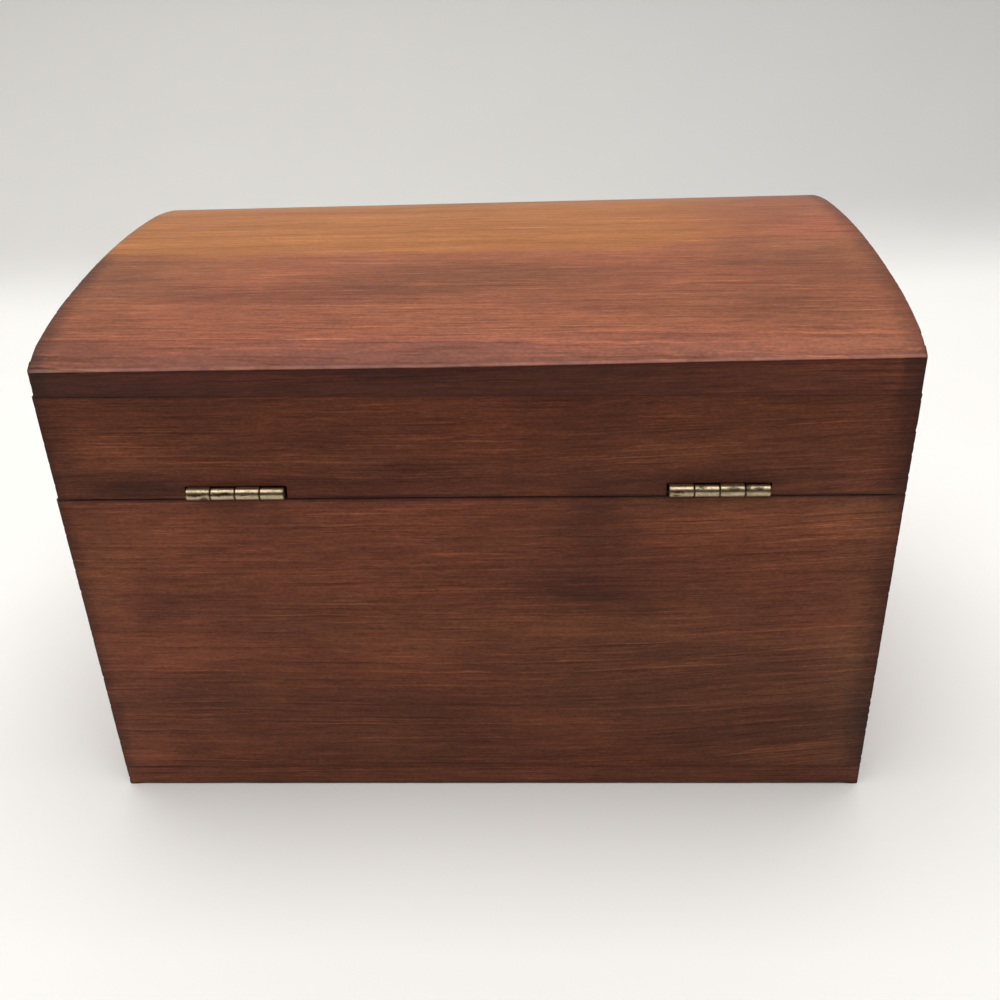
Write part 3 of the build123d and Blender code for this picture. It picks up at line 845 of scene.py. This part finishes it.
def margins_back(t, g, seed):
    """Stain pooled along the ends of the back board, and painted shade in the open joint under the top board at its
    left end seen from the back.
    """
    rag = t.sub(t.noise(g, (0.3, 0.16, 0.16), seed + 31.0, 3.0, 0.6), 0.5)
    left = t.ramp01(t.add(t.x, t.mul(rag, 6.0)), -74.8, -80.6)
    right = t.ramp01(t.add(t.x, t.mul(rag, 5.0)), 77.5, 80.6)
    low = t.ramp01(t.z, 60.0, 50.0)
    up = t.ramp01(t.z, 71.0, 75.0)
    hold = t.m("MAXIMUM", low, up)
    lid = t.ramp01(t.z, 71.0, 76.0)
    # the last term is painted shade in the open joint under the top board
    return t.add(t.mul(left, -0.20, t.mad(hold, 0.75, 0.25)), t.mul(right, -0.10), t.mul(lid, -0.025), t.mul(open_end(t, 40.0, 66.0), -0.16))


def margins_bottom(t, g, seed):
    """The bottom board's joint is open at one end only, and painted shade darkens it there."""
    open_end = t.mul(t.ramp01(t.x, 66.0, 71.0), t.ramp01(t.z, BOT - 0.55, BOT - 0.15))
    return t.add(t.mul(open_end, -0.22), t.mul(t.ramp01(t.x, 46.0, 72.0), 0.08))


def hue_back(t, colour, g, seed, lines):
    """The stain dried redder on the lid and round the middle, browner to the left end."""
    rag = t.sub(t.noise(g, (0.03, 0.12, 0.12), seed + 61.0, 3.0, 0.6), 0.5)
    x, z = t.mad(rag, 26.0, t.x), t.mad(rag, 14.0, t.z)
    body = t.ramp01(t.z, 75.0, 72.0)
    lid = t.ramp01(z, 76.0, 90.0)
    left = t.mul(t.ramp01(x, -60.0, -79.0), body)
    mid = t.blob(x, z, 16.0, 29.0, 46.0, 20.0)
    g_by = t.add(1.0, t.mul(body, 0.05), t.mul(left, 0.13), t.mul(lid, -0.07), t.mul(mid, -0.11))
    b_by = t.add(0.97, t.mul(body, 0.04), t.mul(left, 0.12), t.mul(lid, -0.14), t.mul(mid, -0.10))
    return t.mix(1.0, colour, t.join(1.0, g_by, b_by), "MULTIPLY")


def open_end(t, lo, hi):
    """1 beside the joint under the top board, at the left end seen from the back, where painted shade marks the open
    joint.
    """
    gap = t.m("ABSOLUTE", t.sub(t.z, t.mad(t.x, JRISE, JOINT)))
    return t.mul(t.ramp01(t.x, lo, hi), t.ramp01(gap, 0.42, 0.10))


def crest_of(t, seed):
    """1 along the back arris of the top: a painted highlight where the rounded arris faces the light, patchy along its
    length.
    """
    # breaks the painted highlight into patches along the arris
    worn = t.ramp01(t.noise(t.p, (0.16, 0.05, 0.05), seed + 71.0, 2.0, 0.6), 0.25, 0.55)
    line = t.mul(t.ramp01(t.y, HY - 0.80, HY - 0.45), t.ramp01(t.z, TOPE - 0.55, TOPE - 0.35))
    return t.mul(line, t.mad(worn, 0.7, 0.3), t.ramp01(t.y, HY - 0.04, HY - 0.12))


def margins_top(t, g, seed):
    rag = t.sub(t.noise(g, (0.3, 0.16, 0.16), seed + 31.0, 3.0, 0.6), 0.5)
    left = t.ramp01(t.add(t.x, t.mul(rag, 4.0)), -76.0, -80.0)
    right = t.ramp01(t.add(t.x, t.mul(rag, 4.0)), 75.5, 80.0)
    # painted shade: darker over the steep back shoulder of the dome, more towards +X
    back = t.ramp01(t.y, HY - 7.0, HY - 0.5)
    edge = t.mul(t.ramp01(t.m("ABSOLUTE", t.y), HY - 0.22, HY - 0.06), t.ramp01(t.z, TOPE + 0.1, TOPE - 0.15))
    under = t.ramp01(t.z, TOPE - 1.3, TOPE - 0.3)
    dark = t.ramp01(t.add(t.x, t.mul(rag, 4.0)), -76.5, -77.5)
    return t.add(
        # the arris highlight term is a painted highlight along the back arris
        t.mul(left, -0.13), t.mul(right, -0.19), t.mul(back, t.mad(t.ramp01(t.x, -40.0, 10.0), -0.06, -0.02)), t.mul(crest_of(t, seed), 0.10),
        # the open joint term is painted shade in the open joint under the top board
        t.mul(edge, t.add(-0.16, t.mul(under, -0.03), t.mul(dark, -0.12), t.mul(t.ramp01(t.x, -64.0, 0.0), -0.08), t.mul(t.blob(t.x, t.z, -34.0, 97.0, 34.0, 40.0), -0.07), t.mul(open_end(t, 40.0, 66.0), -0.16))),
    )


back_spots = [
    # dark clouds
    ("xz", -0.15, -21, 51, 24, 8),
    ("xz", -0.12, -23, 68, 13, 13),
    ("xz", -0.07, -24, 88, 20, 12),
    ("xz", -0.20, 66, 76.5, 16, 4.5),
    ("xz", -0.12, 20, 76.5, 45, 5),
    ("xz", -0.12, -46, 76.0, 26, 4),
    ("xz", -0.06, 66, 48, 10, 6),
    ("xz", -0.12, -55, 14, 42, 16),
    ("xz", -0.07, 10, 12, 40, 12),
    ("xz", -0.08, 60, 27, 18, 9),
    ("xz", -0.11, -50, 32, 44, 9),
    ("xz", -0.07, 30, 22, 60, 6),
    ("xz", -0.10, 78, 84, 6, 12),
    ("xz", -0.12, -77, 96.5, 3.5, 5),
    ("xz", -0.09, -26, 24, 28, 9),
    ("xz", -0.05, 34, 9, 26, 7),
    ("xz", -0.14, 60, 75.3, 26, 3.2),
    ("xz", -0.05, 0, 69, 15, 4),
    ("xz", -0.05, -14, 81, 17, 6),
    ("xz", -0.04, 64, 80, 16, 5),
    # lighter, more orange
    ("xz", 0.13, -52, 66, 32, 8),
    ("xz", 0.15, -73, 67, 12, 9),
    ("xz", 0.10, 66, 62, 26, 12),
    ("xz", 0.09, 76, 52, 12, 14),
    ("xz", 0.10, 18, 37, 24, 8),
    ("xz", 0.06, 64, 36, 22, 12),
    ("xz", 0.03, 40, 57, 20, 6),
    ("xz", 0.05, -40, 44, 30, 8),
    ("xz", 0.08, 62, 84, 18, 7),
    ("xz", 0.06, -10, 86, 22, 7),
    ("xz", 0.09, -40, 82, 26, 5),
    ("xz", 0.09, 76, 12, 14, 10),
    ("xz", 0.06, -66, 8, 22, 6),
    ("xz", 0.05, -62, 57, 24, 6),
    ("xz", 0.08, -71, 76, 7, 5),
    ("xz", 0.04, -12, 63, 22, 5),
]

top_spots = [
    ("xy", -0.06, 0, 21, 40, 9),
    ("xy", -0.06, -60, 18, 26, 14),
    ("xy", -0.06, 72, 14, 14, 18),
    ("xy", 0.03, -30, 42, 50, 6),
    ("xy", -0.14, 30, 30, 42, 10),
    ("xy", -0.06, 10, 49, 46, 5),
    ("xy", 0.07, 76, 8, 10, 6),
    ("xy", -0.07, -55, 6, 12, 6),
    ("xy", -0.10, 24, -34, 72, 8),
    ("xy", -0.10, 68, -33, 20, 8),
    ("xy", -0.06, 55, 29, 26, 9),
    ("xy", -0.11, -62, 40, 28, 10),
    ("xy", -0.09, 72, 46, 16, 9),
]


def hue_top(t, colour, g, seed, lines):
    """The sapwood band over the front two thirds of the top, which took the stain orange."""
    rag = t.sub(t.noise(g, (0.04, 0.7, 0.7), seed + 51.0, 3.0, 0.6), 0.5)
    rag2 = t.sub(t.noise(g, (0.03, 0.05, 0.05), seed + 53.0, 2.0, 0.5), 0.5)
    x = t.add(t.x, t.mul(rag2, 18.0), t.mul(rag, 16.0))
    # the band narrows and thins out towards its end
    narrow = t.mul(t.sub(1.0, t.ramp01(x, -66.0, -26.0)), 11.0)
    y = t.add(t.y, t.mul(rag, 9.0), t.mul(rag2, 6.0), t.mul(t.x, 0.022), narrow)
    front = t.ramp01(y, 12.5, 4.5)
    left = t.ramp01(x, -73.0, -31.0)
    band = t.mul(front, left)
    tone = t.add(0.55, t.mul(t.sub(t.noise(g, (0.012, 0.16, 0.16), seed + 57.0, 3.0, 0.6), 0.5), 0.5), t.mul(lines, 1.1))
    sap = t.colours(t.m("ADD", tone, 0.0, clamp=True), [(n / 8, tuple(c * math.exp(k * (n / 8 - 0.5)) for c, k in zip((0.333, 0.118, 0.028), (1.7, 2.0, 2.2)))) for n in range(9)])
    face = t.mul(t.ramp01(t.m("ABSOLUTE", t.y), HY - 0.22, HY - 0.06), t.ramp01(t.z, TOPE + 0.1, TOPE - 0.3))
    far = t.mul(t.ramp01(t.y, -34.0, -46.0), t.sub(1.0, face))
    sap = t.mix(far, sap, t.mix(1.0, sap, (0.96, 1.10, 1.12), "MULTIPLY"))
    # browner behind the sapwood and at the right end, redder towards the back arris
    mid = t.ramp01(y, 6.0, 14.0)
    back = t.ramp01(t.add(t.y, t.mul(rag, 5.0)), 42.0, 49.0)
    end = t.mul(t.ramp01(x, 56.0, 74.0), t.ramp01(t.y, 10.0, 30.0))
    under = t.mul(face, t.ramp01(t.z, TOPE - 1.2, TOPE - 0.4))
    g_by = t.add(1.0, t.mul(mid, 0.06), t.mul(back, -0.15), t.mul(end, 0.06), t.mul(face, -0.05), t.mul(under, -0.12))
    b_by = t.add(1.0, t.mul(mid, 0.02), t.mul(back, -0.16), t.mul(end, 0.04), t.mul(face, -0.18), t.mul(under, -0.12))
    colour = t.mix(1.0, colour, t.join(1.0, g_by, b_by), "MULTIPLY")
    colour = t.mix(t.mul(band, t.mad(face, -0.62, 0.86)), colour, sap)
    # painted highlight on the back arris, mixed in pale pink
    return t.mix(t.mul(crest_of(t, seed), 0.10), colour, (0.62, 0.45, 0.40))


MAT["back"] = wood("stained_wood_back", "x", 0.49, back_spots, seed=11.0, margins=margins_back, hue=hue_back, inner=inside_walls(1.0, "y", HY))
MAT["front"] = wood("stained_wood_front", "x", 0.50, [("xz", -0.12, 30, 30, 30, 12), ("xz", 0.10, -40, 60, 30, 10), ("xz", -0.10, -60, 80, 20, 8)], seed=83.0, margins=margins_back, hue=hue_back, inner=inside_walls(-1.0, "y", -HY))
MAT["left"] = wood("stained_wood_left", "y", 0.49, [("yz", -0.12, 20, 30, 26, 12), ("yz", 0.10, -20, 58, 24, 9)], seed=37.0, inner=inside_walls(-1.0, "x", -HX))
MAT["right"] = wood("stained_wood_right", "y", 0.49, [("yz", -0.11, -14, 40, 26, 12), ("yz", 0.10, 24, 20, 24, 9)], seed=59.0, inner=inside_walls(1.0, "x", HX))
MAT["bottom"] = wood("stained_wood_bottom", "x", 0.47, (), seed=131.0, margins=margins_bottom, inner=inside_bottom)
MAT["top"] = wood("stained_wood_top", "x", 0.64, top_spots, seed=71.0, hue=hue_top, margins=margins_top, inner=inside_top, rough=0.46, spec=0.29, contrast=0.88)


grime = [  # caught on the barrels: X, height, half width, half height
    (51.4, 74.1, 1.3, 1.0),
    (53.0, 75.15, 2.2, 0.36),
    (47.4, 75.35, 1.5, 0.40),
    (49.0, 75.1, 1.6, 0.26),
    (43.6, 75.05, 1.2, 0.22),
    (-51.3, 75.3, 0.7, 0.75),
    (-48.6, 75.1, 1.5, 0.42),
    (-53.4, 75.05, 1.3, 0.30),
    (-42.9, 75.3, 0.9, 0.22),
    (-38.4, 74.7, 1.3, 0.40),
    (-38.0, 73.9, 0.8, 0.30),
]


def brass(name, joints=True, dark=0.0, seed=0.0):
    """Dull lacquered brass, tarnished in blotches and with grime spots; painted shade at the knuckle joints and where
    the barrel meets the wood.
    """
    t = Tree(name)
    blot = t.noise(t.p, (0.4, 0.9, 0.9), seed + 2.0, 3.0, 0.6)
    fine = t.noise(t.p, (2.2, 3.5, 3.5), seed + 4.0, 3.0, 0.6)
    speck = t.ramp01(t.noise(t.p, (1.6, 2.4, 2.4), seed + 8.0, 2.0, 0.6), 0.62, 0.72)
    tarnish_and_shade = t.add(t.mul(t.sub(blot, 0.5), 0.9), t.mul(t.sub(fine, 0.5), 0.5), 0.36 + dark)
    if joints:
        out = 0.0
        # painted shade in the gaps between the knuckles
        for hx in HINGES.values():
            for k in range(5):
                d = t.m("ABSOLUTE", t.sub(t.x, hx - 9.5 + 4.75 * k))
                near = t.ramp01(d, 0.34, 0.12)
                out = near if out == 0.0 else t.m("MAXIMUM", out, near)
        dy, dz = t.sub(t.y, 52.17), t.sub(t.z, 74.56)
        off = t.m("SQRT", t.add(t.mul(dy, dy), t.mul(dz, dz)))
        barrel = t.ramp01(off, 2.4, 1.5)
        behind = t.mul(t.ramp01(t.y, HY + 0.5, HY - 0.4), barrel)  # painted shade where the barrel meets the wood
        tarnish_and_shade = t.add(tarnish_and_shade, t.mul(out, barrel, t.add(0.15, t.mul(fine, 0.5))), t.mul(behind, 0.35))
        for gx, gz, ru, rv in grime:
            u = t.add(t.x, t.mul(t.sub(fine, 0.5), 1.2))
            v = t.add(t.z, t.mul(t.sub(fine, 0.5), 0.8))
            spot = t.mul(t.blob(u, v, gx, gz, ru, rv, 0.6), t.ramp01(t.y, HY + 0.2, HY + 0.5))
            tarnish_and_shade = t.add(tarnish_and_shade, t.mul(spot, 0.60))
    tarnish_and_shade = t.add(tarnish_and_shade, t.mul(speck, 0.35))
    k = t.m("ADD", tarnish_and_shade, 0.0, clamp=True)
    colour = t.colours(k, [(0.0, (0.55, 0.435, 0.285)), (0.35, (0.43, 0.330, 0.205)), (0.65, (0.22, 0.150, 0.070)), (1.0, (0.060, 0.038, 0.016))])
    rough = t.add(0.27, t.mul(k, 0.22), t.mul(t.sub(fine, 0.5), 0.10))
    bump = t.add(t.mul(blot, 1.0), t.mul(fine, 0.45), t.mul(speck, -0.4))
    return t.finish(colour, rough, bump, 0.00005, Metallic=1.0, Coat_Weight=0.7, Coat_IOR=1.5, Coat_Roughness=0.24)


for n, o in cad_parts.items():
    if "_leaf" in n:
        mat = MAT.setdefault("leaf", None) or brass("aged_brass_leaf", True, 0.0, 3.0)
        MAT["leaf"] = mat
    elif "_pin" in n:
        mat = MAT.setdefault("pin", None) or brass("aged_brass_pin", False, 0.12, 17.0)
        MAT["pin"] = mat
    elif "_screws" in n:
        mat = MAT.setdefault("screw", None) or brass("aged_brass_screw", False, -0.05, 29.0)
        MAT["screw"] = mat
    else:
        continue
    o.data.materials.clear()
    o.data.materials.append(mat)


def screws(node, body):
    """The frame's own screws, less the face without area that each point's cone ends in."""
    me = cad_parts[node].data.copy()
    me.name = node + "_metal"
    bm = bmesh.new()
    bm.from_mesh(me)
    needles = [f for f in bm.faces if min(e.calc_length() for e in f.edges) < 1e-7]
    for f in needles:
        tip = min(f.edges, key=lambda e: e.calc_length()).verts[0].co.copy()
        for v in bm.verts:
            if (v.co - tip).length < 1e-7:
                v.co = tip
    bmesh.ops.delete(bm, geom=needles, context="FACES")
    bm.to_mesh(me)
    bm.free()
    ob = bpy.data.objects.new(node + "_metal", me)
    bpy.context.scene.collection.objects.link(ob)
    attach(ob, body)
    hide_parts(node)


for side in HINGES:
    screws(side + "_hinge_body_screws", "box")
    screws(side + "_hinge_lid_screws", "lid")

# ------------------------------------------------------------------ the boards
def split_relief(x, y, z):
    on, zc = split_line(x, z)
    return on * (-3.1 * np.exp(-((zc / 0.17) ** 2)) + 1.2 * np.exp(-(((zc + 0.42) / 0.26) ** 2)))


front = grain_plain(83, 1.8, -0.014)
left = grain_plain(37, 1.6, 0.018)
right = grain_plain(59, 1.9, -0.010)
gains = tuple(HINGES.values())
bottom_board("bottom")
long_panel("body_back_wood", "box", ["body_back_panel"], 1, False, grain_back, 11, "back", extra=split_relief)
long_panel("body_front_wood", "box", ["body_front_panel"], -1, False, front, 83, "front")
side_panel("body_left_wood", "box", ["body_left_side"], -1, False, left, 37, "left")
side_panel("body_right_wood", "box", ["body_right_side"], 1, False, right, 59, "right")
long_panel("lid_back_wood", "lid", ["lid_back_rail"], 1, True, grain_back, 11, "back", gains=gains)
long_panel("lid_front_wood", "lid", ["lid_front_rail"], -1, True, front, 83, "front")
side_panel("lid_left_wood", "lid", ["lid_left_side"], -1, True, left, 37, "left")
side_panel("lid_right_wood", "lid", ["lid_right_side"], 1, True, right, 59, "right")
top_board("top")

# ------------------------------------------------------------------ stage
def sweep():
    """A pale table that curves up into a backdrop."""
    prof = [(0.9, 0.0)]
    y0, r = -0.27, 0.22
    prof.append((y0, 0.0))
    for k in range(1, 25):
        a = k / 24 * math.pi / 2
        prof.append((y0 - r * math.sin(a), r * (1 - math.cos(a))))
    prof.append((y0 - r, 1.6))
    xs = np.linspace(-1.6, 1.6, 3)
    verts = [(x, y, z) for x in xs for y, z in prof]
    n = len(prof)
    faces = [(i * n + j, i * n + j + 1, (i + 1) * n + j + 1, (i + 1) * n + j) for i in range(len(xs) - 1) for j in range(n - 1)]
    me = bpy.data.meshes.new("backdrop")
    me.from_pydata(verts, [], faces)
    me.shade_smooth()
    ob = bpy.data.objects.new("backdrop", me)
    bpy.context.scene.collection.objects.link(ob)
    t = Tree("pale_backdrop")
    n1 = t.sub(t.noise(t.p, (0.012, 0.012, 0.012), 3.0, 2.0), 0.5)
    # painted shade: the upright part of the sweep is painted grey, lighter towards +X
    wall = t.ramp01(t.add(t.y, t.mul(t.x, -0.06), t.mul(n1, 12.0)), -256.0, -356.0)
    side = t.ramp01(t.x, -420.0, 240.0)
    grey = t.mix(side, (0.565, 0.560, 0.551), (0.665, 0.655, 0.635))
    col = t.mix(wall, (0.90, 0.890, 0.872), grey)
    col = t.mix(t.ramp01(n1, -0.2, 0.2), t.mix(1.0, col, (0.985, 0.985, 0.985), "MULTIPLY"), col)
    t.finish(col, 0.75)
    me.materials.append(t.mat)
    return ob


sweep()

# ------------------------------------------------------------------ light
def area(name, at, look, size, power, colour=(1, 1, 1), size_y=None):
    d = bpy.data.lights.new(name, "AREA")
    d.shape = "RECTANGLE"
    d.size, d.size_y = size, size_y or size
    d.energy, d.color = power, colour
    o = bpy.data.objects.new(name, d)
    o.location = at
    o.rotation_mode = "QUATERNION"
    o.rotation_quaternion = (Vector(look) - Vector(at)).to_track_quat("-Z", "Y")
    bpy.context.scene.collection.objects.link(o)
    return o


area("overhead", (0, -0.10, 1.2), (0, -0.10, 0), 1.3, 11.9, (1.0, 0.99, 0.97), 0.7)
area("overhead_right", (0.8, -0.2, 1.2), (0.8, -0.2, 0), 0.7, 1.4, (1.0, 0.99, 0.97), 1.0)
area("overhead_front", (0, 0.55, 1.2), (0, 0.55, 0), 1.4, 7.1, (1.0, 0.99, 0.97), 0.6)

world = bpy.data.worlds.new("studio")
bpy.context.scene.world = world
world.use_nodes = True
bg = world.node_tree.nodes["Background"]
bg.inputs[0].default_value = (0.9, 0.95, 1.0, 1)
bg.inputs[1].default_value = 0.03

# ------------------------------------------------------------------ camera
cam = bpy.data.cameras.new("camera")
cam.sensor_width, cam.lens = 36.0, 40.5
cam.shift_x, cam.shift_y = 0.0036, 0.0013
cam.clip_start, cam.clip_end = 0.01, 20
co = bpy.data.objects.new("camera", cam)
right = Vector((-0.99884, -0.03455, -0.03342)).normalized()
fwd = Vector((0.04658, -0.86732, -0.49557)).normalized()
up = right.cross(fwd).normalized()
right = fwd.cross(up).normalized()
co.matrix_world = Matrix(
    (
        (right.x, up.x, -fwd.x, -0.014209),
        (right.y, up.y, -fwd.y, 0.237543),
        (right.z, up.z, -fwd.z, 0.178422),
        (0, 0, 0, 1),
    )
)
bpy.context.scene.collection.objects.link(co)
bpy.context.scene.camera = co

vs = bpy.context.scene.view_settings
vs.view_transform = "Standard"
vs.look = "None"
